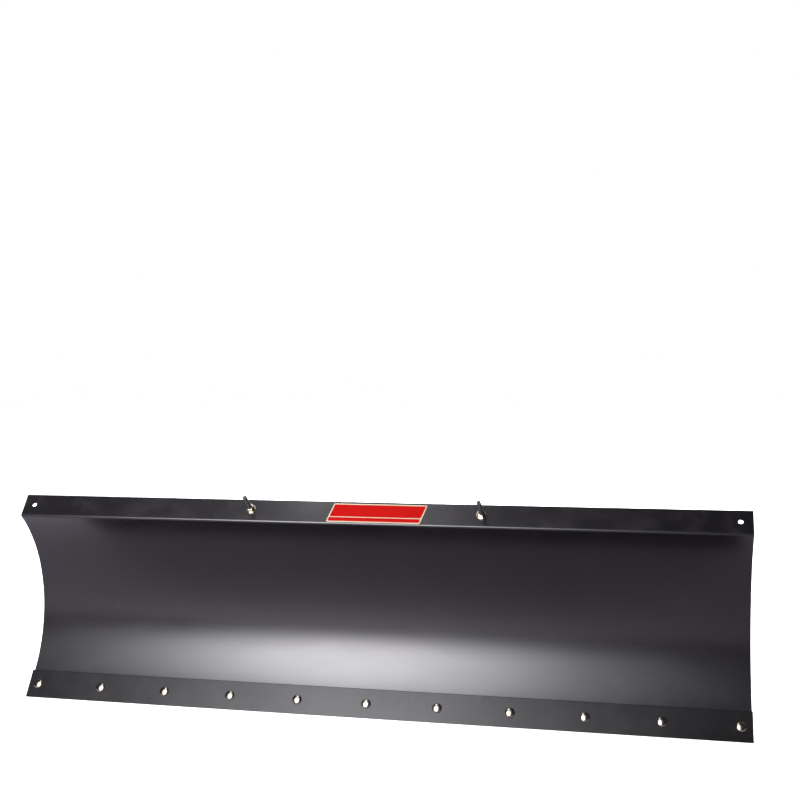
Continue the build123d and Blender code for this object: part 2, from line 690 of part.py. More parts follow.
def mount_ears(side):
    """Two ears welded under the vehicle plate, one each side of a rear sleeve."""
    foot_half, ear_r = 34, 19
    ear = make_face(Polyline((pivot_y - foot_half, plate_low), (pivot_y + foot_half, plate_low),
                             (pivot_y + ear_r, pivot_z), (pivot_y - ear_r, pivot_z), close=True))
    ear += Pos(pivot_y, pivot_z) * Circle(ear_r)
    ear -= Pos(pivot_y, pivot_z) * Circle(pin_r + run)
    offset = ear_gap + ear_thick / 2
    return [plate(ear, side * pivot_x + k * offset, ear_thick) for k in (-1, 1)]


mount_linch_out = 9.0   # from the outer ear to the linch pin


def mount_pin(side):
    """Pin from the inside out through the ears and sleeve, drilled for its linch pin."""
    return headed_pin(side, side * pivot_x, Vector(pivot_y, pivot_z), ear_gap + ear_thick,
                      2 * mount_linch_out, linch_r + 0.1)


def mount_linch_pin(side):
    pin = Pos(0, 0, 12) * Rot(180, 0, 90) * linch_pin(linch_r, 26)
    return Pos(side * (pivot_x + ear_gap + ear_thick + mount_linch_out), pivot_y, pivot_z) * pin


# Every node -------------------------------------------------------------------------------------
def solids_of(item):
    shapes = item if isinstance(item, list) else [item]
    return [solid for shape in shapes for solid in shape.solids()]


nodes = {
    "moldboard": moldboard(),
    "wear_bar": wear_bar(),
    "wear_bar_bolts": [carriage_bolt(x) for x in wear_bolt_xs],
    "wear_bar_nuts": [wear_bar_nut(x) for x in wear_bolt_xs],
    "bottom_stiffener": bottom_stiffener(),
    "middle_rib": middle_rib(),
    "outer_ribs": outer_ribs(),
    "flange_decal": flange_decal(),
    "eyebolt_nuts": eyebolt_nuts(-1) + eyebolt_nuts(1),
    "eyebolt_washers": eyebolt_washers(-1) + eyebolt_washers(1),
    "stored_spacers": spacers(-1, sleeve_high, spacers_above) + spacers(1, sleeve_high, spacers_above),
    "hinge_pins": [hinge_pin(s) for s in SIDES.values()],
    "hinge_cotters": [hinge_cotter(s) for s in SIDES.values()],
    "swivel_beam": swivel_beam(),
    "hinge_knuckles": [hinge_knuckle(s) for s in SIDES.values()],
    "post_gussets": [post_gusset(s) for s in SIDES.values()],
    "trip_stops": [trip_stop(s) for s in SIDES.values()],
    "sector_plate": sector_plate(),
    "upper_nose_plate": nose_plate(nose_high, True),
    "lower_nose_plate": nose_plate(nose_low - nose_thick, False),
    "front_cross_member": front_cross_member(),
    "rear_sleeves": [rear_sleeve(s) for s in SIDES.values()],
    "middle_brace": cross_brace(middle_brace_y),
    "rear_brace": cross_brace(rear_brace_y),
    "lift_bracket": lift_bracket(),
    "king_bolt": king_bolt(),
    "king_washers": king_washers(),
    "king_nut": king_nut(),
    "lock_housing": lock_housing(),
    "lock_pin": lock_pin(),
    "lock_handle": lock_handle(),
    "lock_spring": lock_spring(),
    "vehicle_plate": vehicle_plate(),
    "mount_ears": mount_ears(-1) + mount_ears(1),
    "mount_pins": [mount_pin(s) for s in SIDES.values()],
    "mount_linch_pins": [mount_linch_pin(s) for s in SIDES.values()],
}
for name, side in SIDES.items():
    nodes |= {
        f"{name}_hinge_ribs": hinge_ribs(side),
        f"{name}_spring_eyebolt": spring_eyebolt(side),
        f"{name}_trip_spring": trip_spring(side),
        f"{name}_shoe_bracket": shoe_bracket(side),
        f"{name}_skid_shoe": skid_shoe(side),
        f"{name}_shoe_stem": shoe_stem(side),
        f"{name}_shoe_spacers": spacers(side, boss_top, spacers_below),
        f"{name}_shoe_linch_pin": shoe_linch_pin(side),
        f"{name}_spring_post": spring_post(side),
        f"{name}_push_tube": push_tube(side),
    }

os.makedirs("parts", exist_ok=True)
for name, item in nodes.items():
    export_step(Compound(children=solids_of(item)), f"parts/{name}.step")
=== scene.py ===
import json
from math import cos, pi, radians, sin, sqrt, tan

import bmesh
import bpy
from mathutils import Matrix, Vector

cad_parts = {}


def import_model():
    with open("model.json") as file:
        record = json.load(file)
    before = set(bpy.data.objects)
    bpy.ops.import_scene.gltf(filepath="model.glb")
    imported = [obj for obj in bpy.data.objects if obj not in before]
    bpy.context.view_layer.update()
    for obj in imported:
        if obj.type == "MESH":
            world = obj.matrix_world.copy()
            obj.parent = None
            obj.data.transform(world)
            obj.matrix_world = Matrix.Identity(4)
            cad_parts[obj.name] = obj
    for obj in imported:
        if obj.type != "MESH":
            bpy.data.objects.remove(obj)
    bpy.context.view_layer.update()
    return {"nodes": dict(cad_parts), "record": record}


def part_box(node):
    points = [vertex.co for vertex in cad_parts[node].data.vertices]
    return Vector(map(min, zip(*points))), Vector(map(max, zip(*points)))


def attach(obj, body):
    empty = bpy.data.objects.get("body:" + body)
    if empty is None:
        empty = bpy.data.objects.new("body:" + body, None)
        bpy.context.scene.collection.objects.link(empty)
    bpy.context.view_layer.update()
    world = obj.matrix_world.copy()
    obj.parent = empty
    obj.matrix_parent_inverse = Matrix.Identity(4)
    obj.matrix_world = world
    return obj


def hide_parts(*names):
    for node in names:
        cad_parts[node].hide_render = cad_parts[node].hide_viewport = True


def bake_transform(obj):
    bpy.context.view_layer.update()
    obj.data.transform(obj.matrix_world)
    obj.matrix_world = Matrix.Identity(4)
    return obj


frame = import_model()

MM = 0.001
SIDES = {"left": -1, "right": 1}

# Driving dimensions, in millimetres ------------------
blade_width = 1575.0
sheet = 3.0
arc_radius = 278.5
edge_lean = 31.5
fold_lean = 50.2
flange_length = 55.0
flange_lean = 36.4
fold_r = 4.5
flat_length = 64.5
sheet_start = 16.0
wear_thickness = 6.0
wear_height = 64.0
wear_length = 1578.0
wear_edge_r = 1.2
wear_bolt_count = 11
wear_bolt_pitch = 153.2
wear_bolt_height = 31.5
marker_x = 762.5
marker_r = 5.25
spring_x = 250.0
bolt_r = 4.75
pin_r = 8.0
rib_thick = 6.0
rib_half_gap = 20.0
rib_depth = 35.0
rib_x = 440.0
stem_r = 9.5
spacer_r = 17.0
spacer_thick = 6.0
king_r = 9.5
king_z = 101.0
tube_front_x = 85.0
pivot_x = 150.0
mount_half = 30.5       # half the width over a pair of mount ears
plate_half = 4.0        # half the thickness of the swivel plate


# Profile points, as (y, z) ---------------------------
def lean_up(angle):
    """Unit vector that points up a surface leaning back by angle degrees."""
    return Vector((0, sin(radians(angle)), cos(radians(angle))))


def lean_back(angle):
    """Unit vector that points through that surface, to its rear."""
    return Vector((0, cos(radians(angle)), -sin(radians(angle))))


edge_up, edge_back = lean_up(edge_lean), lean_back(edge_lean)
flange_up, flange_back = lean_up(flange_lean), lean_back(flange_lean)
wear_foot = Vector((0, -wear_thickness / 2 / cos(radians(edge_lean)), 0))
sheet_foot = wear_foot + edge_back * wear_thickness
arc_foot = sheet_foot + edge_up * flat_length
arc_centre = arc_foot - edge_back * arc_radius
rear_radius = arc_radius + sheet


def on_arc(radius, lean):
    """Point at a radius from the roll's centre, where the sheet leans back by lean degrees."""
    return arc_centre + lean_back(lean) * radius


fold = on_arc(arc_radius, -fold_lean)
flange_top = fold + flange_up * flange_length
eye_hole = fold + flange_up * 30.5
marker_hole = fold + flange_up * 29.5
stop_z = arc_centre.z
stop_rear = arc_centre.y + rear_radius + rib_depth + 10.6


def at_x(x, point):
    return Vector((x, point.y, point.z))


def box_mm(node):
    """A CAD node's low and high corners, in millimetres."""
    low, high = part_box(node)
    return low / MM, high / MM


def node_axis(node):
    """Middle of a CAD node's box, in millimetres."""
    low, high = box_mm(node)
    return (low + high) / 2


def upright(point, z=0.0):
    """Placement over a point, with local Z up."""
    return Matrix.Translation((point.x, point.y, z))


# Mesh building, in millimetres -----------------------
class Shape:
    """Vertices and faces of one piece, gathered from simple surfaces."""

    def __init__(self):
        self.verts = []
        self.faces = []
        self.slots = []

    def add(self, verts, faces, matrix=None, slot=0):
        base = len(self.verts)
        matrix = matrix or Matrix()
        self.verts += [matrix @ Vector(v) for v in verts]
        self.faces += [[base + i for i in face] for face in faces]
        self.slots += [slot] * len(faces)
        return self


def frame_at(origin, z_axis, x_axis=(1, 0, 0)):
    """Matrix whose local Z runs along z_axis, with local X as near x_axis as it can be."""
    z = Vector(z_axis).normalized()
    x = Vector(x_axis)
    x = (x - z * x.dot(z)).normalized()
    y = z.cross(x)
    turn = Matrix((x, y, z)).transposed().to_4x4()
    return Matrix.Translation(Vector(origin)) @ turn


def strip_faces(rings, around, close_rings=False):
    """Quads between successive rings of points."""
    faces = []
    for r in range(rings if close_rings else rings - 1):
        low, high = r * around, (r + 1) % rings * around
        for i in range(around):
            j = (i + 1) % around
            faces.append([low + i, low + j, high + j, high + i])
    return faces


def turned(rings, steps):
    """Points of rings round local Z. A ring is one (radius, height), or a list of one for each step."""
    verts = []
    for ring in rings:
        for i, (r, h) in enumerate(ring if isinstance(ring, list) else [ring] * steps):
            verts.append((r * cos(2 * pi * i / steps), r * sin(2 * pi * i / steps), h))
    return verts


def capped(rings, around):
    """Quads between successive rings of points, and a face over each end."""
    ends = [list(range(around))[::-1], list(range((rings - 1) * around, rings * around))]
    return strip_faces(rings, around) + ends


def lathe(profile, steps=48, closed=False):
    """Turns (radius, height) points about local Z. An open profile is capped at both ends."""
    faces = strip_faces(len(profile), steps, close_rings=True) if closed else capped(len(profile), steps)
    return turned(profile, steps), faces


def eased_rod(radius, low, high, ease):
    """Profile of a rod from low to high with rounded rims."""
    rounds = 3
    turns = [radians(90 * i / rounds) for i in range(rounds + 1)]
    foot = [(radius - ease + ease * sin(t), low + ease - ease * cos(t)) for t in turns]
    head = [(radius - ease + ease * cos(t), high - ease + ease * sin(t)) for t in turns]
    return foot + head


def eased_ring(inner, outer, low, high, ease=0.5, rounds=2):
    """Closed profile of a washer or sleeve with rounded rims."""
    points = []
    corners = ((outer - ease, low + ease, -90), (outer - ease, high - ease, 0),
               (inner + ease, high - ease, 90), (inner + ease, low + ease, 180))
    for r, h, start in corners:
        for i in range(rounds + 1):
            turn = radians(start + 90 * i / rounds)
            points.append((r + ease * cos(turn), h + ease * sin(turn)))
    return points


def offset_outline(outline, inset):
    """Moves each point of a closed counter-clockwise outline inwards by inset."""
    moved = []
    count = len(outline)
    for i, (x, y) in enumerate(outline):
        before, after = outline[i - 1], outline[(i + 1) % count]
        a = Vector((x - before[0], y - before[1])).normalized()
        b = Vector((after[0] - x, after[1] - y)).normalized()
        normal = Vector((-a.y - b.y, a.x + b.x))
        normal = normal / max(normal.length_squared, 0.4) * 2 * inset
        moved.append((x + normal.x, y + normal.y))
    return moved


def prism(outline, low, high, ease=0.5, rounds=2, steps=1):
    """Extrudes a closed counter-clockwise outline along local Z, with eased rims."""
    turns = [radians(90 * i / rounds) for i in range(rounds + 1)]
    levels = [(ease - ease * sin(t), low + ease - ease * cos(t)) for t in turns]
    levels += [(0, low + ease + (high - low - 2 * ease) * i / steps) for i in range(1, steps)]
    levels += [(ease - ease * cos(t), high - ease + ease * sin(t)) for t in turns]
    verts = []
    for inset, height in levels:
        verts += [(x, y, height) for x, y in offset_outline(outline, inset)]
    return verts, capped(len(levels), len(outline))


def tube(points, radius, sides=12, closed=False):
    """Round wire along a path of points. radius is a number, or a function of the distance along it."""
    points = [Vector(p) for p in points]
    count = len(points)
    verts = []
    previous = None
    travelled = 0.0
    for i, point in enumerate(points):
        ahead = points[(i + 1) % count] if closed or i < count - 1 else point
        behind = points[i - 1] if closed or i > 0 else point
        along = (ahead - behind).normalized()
        if previous is None:
            guide = Vector((0, 0, 1)) if abs(along.z) < 0.9 else Vector((1, 0, 0))
            side = along.cross(guide).normalized()
        else:
            side = (previous - along * previous.dot(along)).normalized()
            travelled += (point - points[i - 1]).length
        previous = side
        up = along.cross(side)
        r = radius(travelled) if callable(radius) else radius
        for k in range(sides):
            turn = 2 * pi * k / sides
            verts.append(point + side * (r * cos(turn)) + up * (r * sin(turn)))
    return verts, strip_faces(count, sides, close_rings=True) if closed else capped(count, sides)


def threaded(radius, low, high, pitch=1.6, depth=0.75, steps=32):
    """Rod with a screw thread cut along its length, and a lead-in at its high end."""
    per_pitch, lead_length, lead_depth = 6, 1.2, 0.9
    rows = int((high - low) / pitch * per_pitch)
    rings = []
    for row in range(rows + 1):
        height = low + (high - low) * row / rows
        lead = lead_depth * (1 - min(1.0, (high - height) / lead_length))
        phases = [(height / pitch - i / steps) % 1.0 for i in range(steps)]
        rings.append([(radius - depth * abs(2 * phase - 1) - lead, height) for phase in phases])
    return turned(rings, steps), capped(len(rings), steps)


hex_steps = 48
hex_chamfer = 32.0      # degrees


def hex_sides(flats, high, ease):
    """Two rings round a hexagon's sides from 0 to high, drawn in along each rim by conical chamfers."""
    reach = [flats / 2 / cos((2 * pi * i / hex_steps) % (pi / 3) - pi / 6) for i in range(hex_steps)]
    drop = [(r - flats / 2) * tan(radians(hex_chamfer)) + ease for r in reach]
    return list(zip(reach, drop)), [(r, high - d) for r, d in zip(reach, drop)]


def hex_nut(flats, thick, bore):
    """Hex nut on local Z from 0 to thick, with conical chamfers on both faces."""
    face_r, ease = flats * 0.48, 0.7
    rings = [(bore, ease), (bore + ease, 0), (face_r, 0), *hex_sides(flats, thick, 0.15),
             (face_r, thick), (bore + ease, thick), (bore, thick - ease)]
    return turned(rings, hex_steps), strip_faces(len(rings), hex_steps, close_rings=True)


def hex_head(flats, thick):
    """Bolt head on local Z from 0 to thick, with conical chamfers."""
    rings = [(flats * 0.46, 0), *hex_sides(flats, thick, 0.2), (flats * 0.47, thick), (0.3, thick)]
    return turned(rings, hex_steps), capped(len(rings), hex_steps)


usual_sharp = 32        # degrees between two faces that keep a crisp edge
merge_gap = 1e-4        # millimetres between points that become one


def even_shading(piece):
    """Large flat faces keep their own normals, so a rounded rim does not shade across them."""
    weighting = piece.modifiers.new("even_shading", "WEIGHTED_NORMAL")
    weighting.keep_sharp = True


def shade(mesh, sharp):
    """Smooth shading, but for edges sharper than an angle in degrees."""
    mesh.shade_smooth()
    mesh.set_sharp_from_angle(angle=radians(sharp))


def show(name, data):
    """Adds a mesh, a light or a camera to the scene as an object."""
    item = bpy.data.objects.new(name, data)
    bpy.context.scene.collection.objects.link(item)
    return item


def finish_piece(name, shape, body, materials, nodes=(), sharp=usual_sharp):
    """Makes the object, in metres, and sets it to ride on its body."""
    mesh = bpy.data.meshes.new(name)
    mesh.from_pydata([v * MM for v in shape.verts], [], shape.faces)
    for material in materials:
        mesh.materials.append(material)
    mesh.polygons.foreach_set("material_index", shape.slots)
    bm = bmesh.new()
    bm.from_mesh(mesh)
    bmesh.ops.remove_doubles(bm, verts=bm.verts, dist=merge_gap * MM)
    bmesh.ops.recalc_face_normals(bm, faces=bm.faces)
    bm.to_mesh(mesh)
    bm.free()
    shade(mesh, sharp)
    piece = show(name, mesh)
    even_shading(piece)
    if body:
        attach(piece, body)
    if nodes:
        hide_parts(*nodes)
    return piece


# Materials -------------------------------------------
class Nodes:
    """Short hand for building a node tree."""

    def __init__(self, tree):
        self.tree = tree

    def link(self, source, target):
        self.tree.links.new(source, target)

    def feed(self, value, socket):
        """Sets a socket to a number or a colour, or links an output to it."""
        if isinstance(value, tuple):
            socket.default_value = (*value, 1)
        elif isinstance(value, (int, float)):
            socket.default_value = value
        else:
            self.link(value, socket)

    def spread(self, value, low, high, out_low, out_high):
        """Maps value from low..high to out_low..out_high, held at both ends."""
        node = self.tree.nodes.new("ShaderNodeMapRange")
        names = ("Value", "From Min", "From Max", "To Min", "To Max")
        for name, setting in zip(names, (value, low, high, out_low, out_high)):
            self.feed(setting, node.inputs[name])
        return node.outputs["Result"]

    def maths(self, operation, *values):
        node = self.tree.nodes.new("ShaderNodeMath")
        node.operation = operation
        for value, socket in zip(values, node.inputs):
            self.feed(value, socket)
        return node.outputs["Value"]

    def mix(self, share, first, second):
        node = self.tree.nodes.new("ShaderNodeMix")
        node.data_type = "RGBA"
        self.link(share, node.inputs["Factor"])
        self.feed(first, node.inputs[6])
        self.feed(second, node.inputs[7])
        return node.outputs[2]

    def parts(self, vector):
        """The X, Y and Z outputs of a vector."""
        node = self.tree.nodes.new("ShaderNodeSeparateXYZ")
        self.link(vector, node.inputs["Vector"])
        return node.outputs

    def camera_share(self):
        """1 where the camera looks straight at it, 0 for reflections and bounced light."""
        return self.tree.nodes.new("ShaderNodeLightPath").outputs["Is Camera Ray"]


class Finish(Nodes):
    """One material, built from patterns in the object's own space, in metres."""

    def __init__(self, name):
        self.material = bpy.data.materials.new(name)
        self.material.use_nodes = True
        super().__init__(self.material.node_tree)
        self.shader = self.tree.nodes["Principled BSDF"]
        self.coords = self.tree.nodes.new("ShaderNodeTexCoord").outputs["Object"]

    def noise(self, scale, detail, rough, stretch=None, distort=0.0):
        node = self.tree.nodes.new("ShaderNodeTexNoise")
        node.inputs["Scale"].default_value = scale
        node.inputs["Detail"].default_value = detail
        node.inputs["Roughness"].default_value = rough
        node.inputs["Distortion"].default_value = distort
        self.link(self.stretched(stretch) if stretch else self.coords, node.inputs["Vector"])
        return node.outputs["Fac"]

    def patches(self, scale, detail, rough, low=0.3, high=0.7, out_low=0, out_high=1, **shape):
        """Noise between low and high, spread over out_low..out_high."""
        return self.spread(self.noise(scale, detail, rough, **shape), low, high, out_low, out_high)

    def stretched(self, stretch):
        node = self.tree.nodes.new("ShaderNodeMapping")
        node.inputs["Scale"].default_value = stretch
        self.link(self.coords, node.inputs["Vector"])
        return node.outputs["Vector"]

    def bump(self, height, strength, distance, under=None):
        node = self.tree.nodes.new("ShaderNodeBump")
        node.inputs["Strength"].default_value = strength
        node.inputs["Distance"].default_value = distance
        self.link(height, node.inputs["Height"])
        if under:
            self.link(under, node.inputs["Normal"])
        return node.outputs["Normal"]

    def up_share(self):
        """0 on walls and undersides, 1 on faces that look up."""
        geometry = self.tree.nodes.new("ShaderNodeNewGeometry")
        return self.spread(self.parts(geometry.outputs["Normal"])["Z"], 0.3, 0.95, 0, 1)

    def set(self, **values):
        names = {"metallic": "Metallic", "rough": "Roughness", "colour": "Base Color", "normal": "Normal",
                 "level": "Specular IOR Level"}
        for key, value in values.items():
            self.feed(value, self.shader.inputs[names[key]])
        return self.material


def scaled(colour, by):
    """A colour made lighter or darker."""
    return tuple(by * c for c in colour)


def powder_coat(name, dark, light, rough_low, rough_high, level=0.5):
    """Satin black powder coat: fine orange peel, cloudy tone, a little dust on what looks up."""
    n = Finish(name)
    tone = n.mix(n.patches(3.5, 4, 0.6, distort=0.4), dark, light)
    tone = n.mix(n.patches(420, 2, 0.5, 0.62, 0.74, 0, 0.35), tone, scaled(light, 3))
    dust = n.maths("MULTIPLY", n.up_share(), n.patches(22, 6, 0.65, 0.45, 0.8, 0.0, 0.16))
    tone = n.mix(dust, tone, (0.16, 0.15, 0.135))
    rough = n.patches(9, 5, 0.6, 0.3, 0.7, rough_low, rough_high, stretch=(0.35, 1, 1), distort=0.6)
    swell = n.bump(n.noise(7, 2, 0.5, stretch=(0.3, 1, 1)), 0.07, 0.002)
    peel = n.bump(n.noise(520, 2, 0.5), 0.08, 0.0001, swell)
    return n.set(colour=tone, rough=rough, normal=peel, level=level)


def zinc_plate(name, base, rough_low, rough_high):
    """Bright zinc: pale yellow cast in patches, fine grain, light handling marks."""
    n = Finish(name)
    warm = tuple(c * f for c, f in zip(base, (0.98, 0.90, 0.72)))
    tone = n.mix(n.patches(120, 4, 0.6, 0.35, distort=1.2), base, warm)
    tone = n.mix(n.patches(300, 5, 0.7, 0.55, 0.75, 0, 0.35), tone, scaled(base, 0.45))
    rough = n.patches(700, 3, 0.6, 0.3, 0.7, rough_low, rough_high)
    grain = n.bump(n.noise(1500, 2, 0.5), 0.12, 0.0002)
    return n.set(colour=tone, metallic=1.0, rough=rough, normal=grain)


def dark_steel(name, base, rough_low, rough_high):
    """Oiled, blackened steel wire and studs."""
    n = Finish(name)
    tone = n.mix(n.patches(90, 5, 0.6, 0.35), base, scaled(base, 2.1))
    rough = n.patches(260, 3, 0.6, 0.3, 0.7, rough_low, rough_high)
    grain = n.bump(n.noise(900, 3, 0.6), 0.2, 0.0003)
    return n.set(colour=tone, metallic=0.85, rough=rough, normal=grain)


def cast_iron(name, bare_below):
    """Black painted casting, sandy under its paint, rubbed bare along the ground."""
    n = Finish(name)
    ragged = n.maths("ADD", n.parts(n.coords)["Z"], n.patches(45, 6, 0.7, 0.2, 0.8, -0.005, 0.005))
    bare = n.spread(ragged, bare_below, bare_below + 0.002, 1, 0)
    coat = n.mix(n.patches(14, 4, 0.6), (0.016, 0.016, 0.017), (0.034, 0.033, 0.032))
    metal = n.mix(n.patches(130, 5, 0.7, 0.45, 0.65), (0.33, 0.31, 0.29), (0.17, 0.10, 0.06))
    tone = n.mix(bare, coat, metal)
    sand = n.bump(n.noise(260, 4, 0.65), 0.4, 0.0006)
    rough = n.patches(80, 4, 0.6, 0.3, 0.7, 0.42, 0.62)
    return n.set(colour=tone, metallic=n.spread(bare, 0, 1, 0.0, 0.9), rough=rough, normal=sand)


def vinyl(name, base):
    """Printed vinyl film: glossy, a touch uneven, faint dust."""
    n = Finish(name)
    tone = n.mix(n.patches(60, 4, 0.6, 0.3, 0.75), base, scaled(base, 0.86))
    rough = n.patches(150, 3, 0.6, 0.3, 0.7, 0.28, 0.42)
    film = n.bump(n.noise(90, 2, 0.5), 0.06, 0.0005)
    return n.set(colour=tone, rough=rough, normal=film, level=0.05)


paint = powder_coat("black_powder_coat", (0.0034, 0.0030, 0.0037), (0.0062, 0.0054, 0.0068), 0.22, 0.28)
paint_cad = powder_coat("black_powder_coat_frame", (0.0090, 0.0082, 0.0092), (0.0150, 0.0138, 0.0152),
                        0.28, 0.38)
weld_paint = powder_coat("black_powder_coat_on_weld", (0.0060, 0.0055, 0.0060), (0.0105, 0.0095, 0.0105),
                         0.32, 0.46)
bar_paint = powder_coat("black_paint_on_bar", (0.0026, 0.0023, 0.0028), (0.0052, 0.0047, 0.0054), 0.24, 0.31,
                        level=0.25)
zinc = zinc_plate("bright_zinc", (0.40, 0.385, 0.345), 0.10, 0.22)
zinc_dull = zinc_plate("dull_zinc", (0.62, 0.61, 0.58), 0.3, 0.5)
stud_black = dark_steel("blackened_steel", (0.045, 0.044, 0.045), 0.28, 0.5)
spring_steel = dark_steel("spring_wire", (0.20, 0.20, 0.205), 0.24, 0.42)
red_vinyl = vinyl("red_vinyl", (0.30, 0.0012, 0.0003))
cream_vinyl = vinyl("cream_vinyl", (0.42, 0.36, 0.25))
shoe_iron = cast_iron("shoe_cast_iron", 0.003)
node_paint = {"black_paint": paint_cad, "wear_steel": bar_paint, "zinc": zinc_dull,
              "spring_steel": spring_steel, "shoe_iron": shoe_iron, "decal": red_vinyl}
slot_of = {part["node"]: part["material_slot"] for part in frame["record"]["subparts"]}
for name, node in frame["nodes"].items():
    node.data.materials.clear()
    node.data.materials.append(node_paint[slot_of[name]])
    node.data.polygons.foreach_set("material_index", [0] * len(node.data.polygons))


# Moldboard -------------------------------------------
def round_corner(before, corner, after, radius, count=7):
    """Points of an arc that rounds one corner of a (y, z) outline."""
    a, b = (before - corner).normalized(), (after - corner).normalized()
    half = a.angle(b) / 2
    centre = corner + (a + b).normalized() * (radius / sin(half))
    start = corner + a * (radius / tan(half)) - centre
    end = corner + b * (radius / tan(half)) - centre
    points = []
    for i in range(count):
        share = i / (count - 1)
        points.append(centre + start.slerp(end, share) * radius)
    return points


def rounded(corners, radius, count):
    """Closed outline with every corner rounded."""
    outline = []
    for i, corner in enumerate(corners):
        outline += round_corner(corners[i - 1], corner, corners[(i + 1) % len(corners)], radius, count)
    return outline


def sheet_outline():
    """Closed (y, z) outline of the rolled sheet: up its front, over the flange's top, down its rear."""
    rolls, flats, flange_start, top_r = 72, 4, 5.0, 0.8
    leans = [edge_lean - (edge_lean + fold_lean) * i / rolls for i in range(rolls + 1)]
    flat_steps = [edge_up * (flat_length - sheet_start) * i / flats for i in range(flats)]
    foot = sheet_foot + edge_up * sheet_start
    rear_top = flange_top + flange_back * sheet
    ahead = rear_top - arc_centre
    along = flange_up.dot(ahead)
    rear_fold = rear_top - flange_up * (along - sqrt(along ** 2 - ahead.length_squared + rear_radius ** 2))
    fold_in = on_arc(arc_radius, -fold_lean + 1.2)
    front = [foot + step for step in flat_steps]
    front += [on_arc(arc_radius, lean) for lean in leans if lean > -fold_lean + 1.2]
    front += round_corner(fold_in, fold, flange_top, fold_r)
    front += [fold + flange_up * (flange_start + (flange_length - flange_start) * i / 4) for i in range(4)]
    top = round_corner(fold, flange_top, rear_top, top_r, 4)
    top += round_corner(flange_top, rear_top, rear_fold, top_r, 4)
    rear_in = on_arc(rear_radius, -fold_lean + 1.5)
    rear = round_corner(rear_top, rear_fold, rear_in, 2.0, 5)
    rear += [on_arc(rear_radius, lean) for lean in reversed(leans) if lean > -fold_lean + 1.6]
    rear += [foot + edge_back * sheet + step for step in reversed(flat_steps)]
    return [(p.y, p.z) for p in front + top + rear][::-1]


def cut_holes(piece, cutters):
    """Cuts the cutters out of a piece and throws them away."""
    for cutter in cutters:
        cut = piece.modifiers.new("hole", "BOOLEAN")
        cut.operation = "DIFFERENCE"
        cut.solver = "EXACT"
        cut.object = cutter
    depsgraph = bpy.context.evaluated_depsgraph_get()
    mesh = bpy.data.meshes.new_from_object(piece.evaluated_get(depsgraph))
    piece.modifiers.clear()
    piece.data = mesh
    for cutter in cutters:
        bpy.data.objects.remove(cutter)
    shade(mesh, usual_sharp)
    even_shading(piece)


across_x = Matrix(((0, 0, 1, 0), (1, 0, 0, 0), (0, 1, 0, 0), (0, 0, 0, 1)))


def moldboard():
    half = blade_width / 2
    shape = Shape().add(*prism(sheet_outline(), -half, half, 0.5, 2, 10), across_x)
    piece = finish_piece("moldboard_sheet", shape, None, [paint], sharp=30)
    holes = []
    for side in SIDES.values():
        place = frame_at(at_x(side * marker_x, marker_hole), flange_back)
        drill = Shape().add(*lathe([(marker_r, -12), (marker_r, 12)], 40), place)
        holes.append(finish_piece("drill", drill, None, []))
    cut_holes(piece, holes)
    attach(piece, "blade")
    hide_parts("moldboard")


# Wear bar and its bolts ------------------------------
def wear_bar():
    """Rolled flat bar, cut level along the ground."""
    top_front = wear_foot + edge_up * wear_height
    top_rear = top_front + edge_back * wear_thickness
    corners = [wear_foot, top_front, top_rear, -wear_foot]
    outline = [(p.y, p.z) for p in reversed(rounded(corners, wear_edge_r, 5))]
    half = wear_length / 2
    shape = Shape().add(*prism(outline, -half, half, 0.8, 3, 12), across_x)
    finish_piece("wear_bar_flat", shape, "blade", [bar_paint], ["wear_bar"])


wear_bolt_xs = [(i - (wear_bolt_count - 1) / 2) * wear_bolt_pitch for i in range(wear_bolt_count)]
wear_bolt_at = wear_foot + edge_up * wear_bolt_height
stiffener_thick = 5.0
clamped = wear_thickness + sheet + stiffener_thick
nut_flats, nut_thick = 14.3, 8.3


def wear_bar_bolts():
    """Domed carriage bolts: head with a thin flat rim, and a threaded end behind the nut."""
    head_r, head_high, rim = 10.2, 4.6, 0.9
    turns = [radians(90 * i / 12) for i in range(12)]
    dome = [(head_r * cos(t), rim + (head_high - rim) * sin(t)) for t in turns]
    head = [(3.0, 0.0), (head_r - 0.4, 0.0), (head_r, 0.35), *dome, (0.25, head_high)]
    tip = clamped + nut_thick + 6
    shape = Shape()
    for i, x in enumerate(wear_bolt_xs):
        place = frame_at(at_x(x, wear_bolt_at), -edge_back) @ Matrix.Rotation(radians(37 * i), 4, "Z")
        shape.add(*lathe(head, 40), place)
        shape.add(*threaded(bolt_r, clamped - 1, tip), frame_at(at_x(x, wear_bolt_at), edge_back))
    finish_piece("carriage_bolts", shape, "blade", [zinc], ["wear_bar_bolts"], sharp=40)


def nut_and_washer(shape, origin, direction, washer_r, washer_thick, turn):
    place = frame_at(origin, direction) @ Matrix.Rotation(radians(turn), 4, "Z")
    shape.add(*lathe(eased_ring(bolt_r + 0.3, washer_r, 0, washer_thick, 0.35), 40, closed=True), place)
    shape.add(*hex_nut(nut_flats, nut_thick, bolt_r + 0.05), place @ Matrix.Translation((0, 0, washer_thick)))


def wear_bar_nuts():
    shape = Shape()
    for i, x in enumerate(wear_bolt_xs):
        nut_and_washer(shape, at_x(x, wear_bolt_at + edge_back * clamped), edge_back, 10.5, 1.6, 23 * i)
    finish_piece("wear_bar_hex_nuts", shape, "blade", [zinc], ["wear_bar_nuts"])


# Spring eyebolts -------------------------------------
eye_r, eye_reach, stud_reach = 12.5, 50.0, 50.0
eye_centre = eye_hole + flange_back * eye_reach


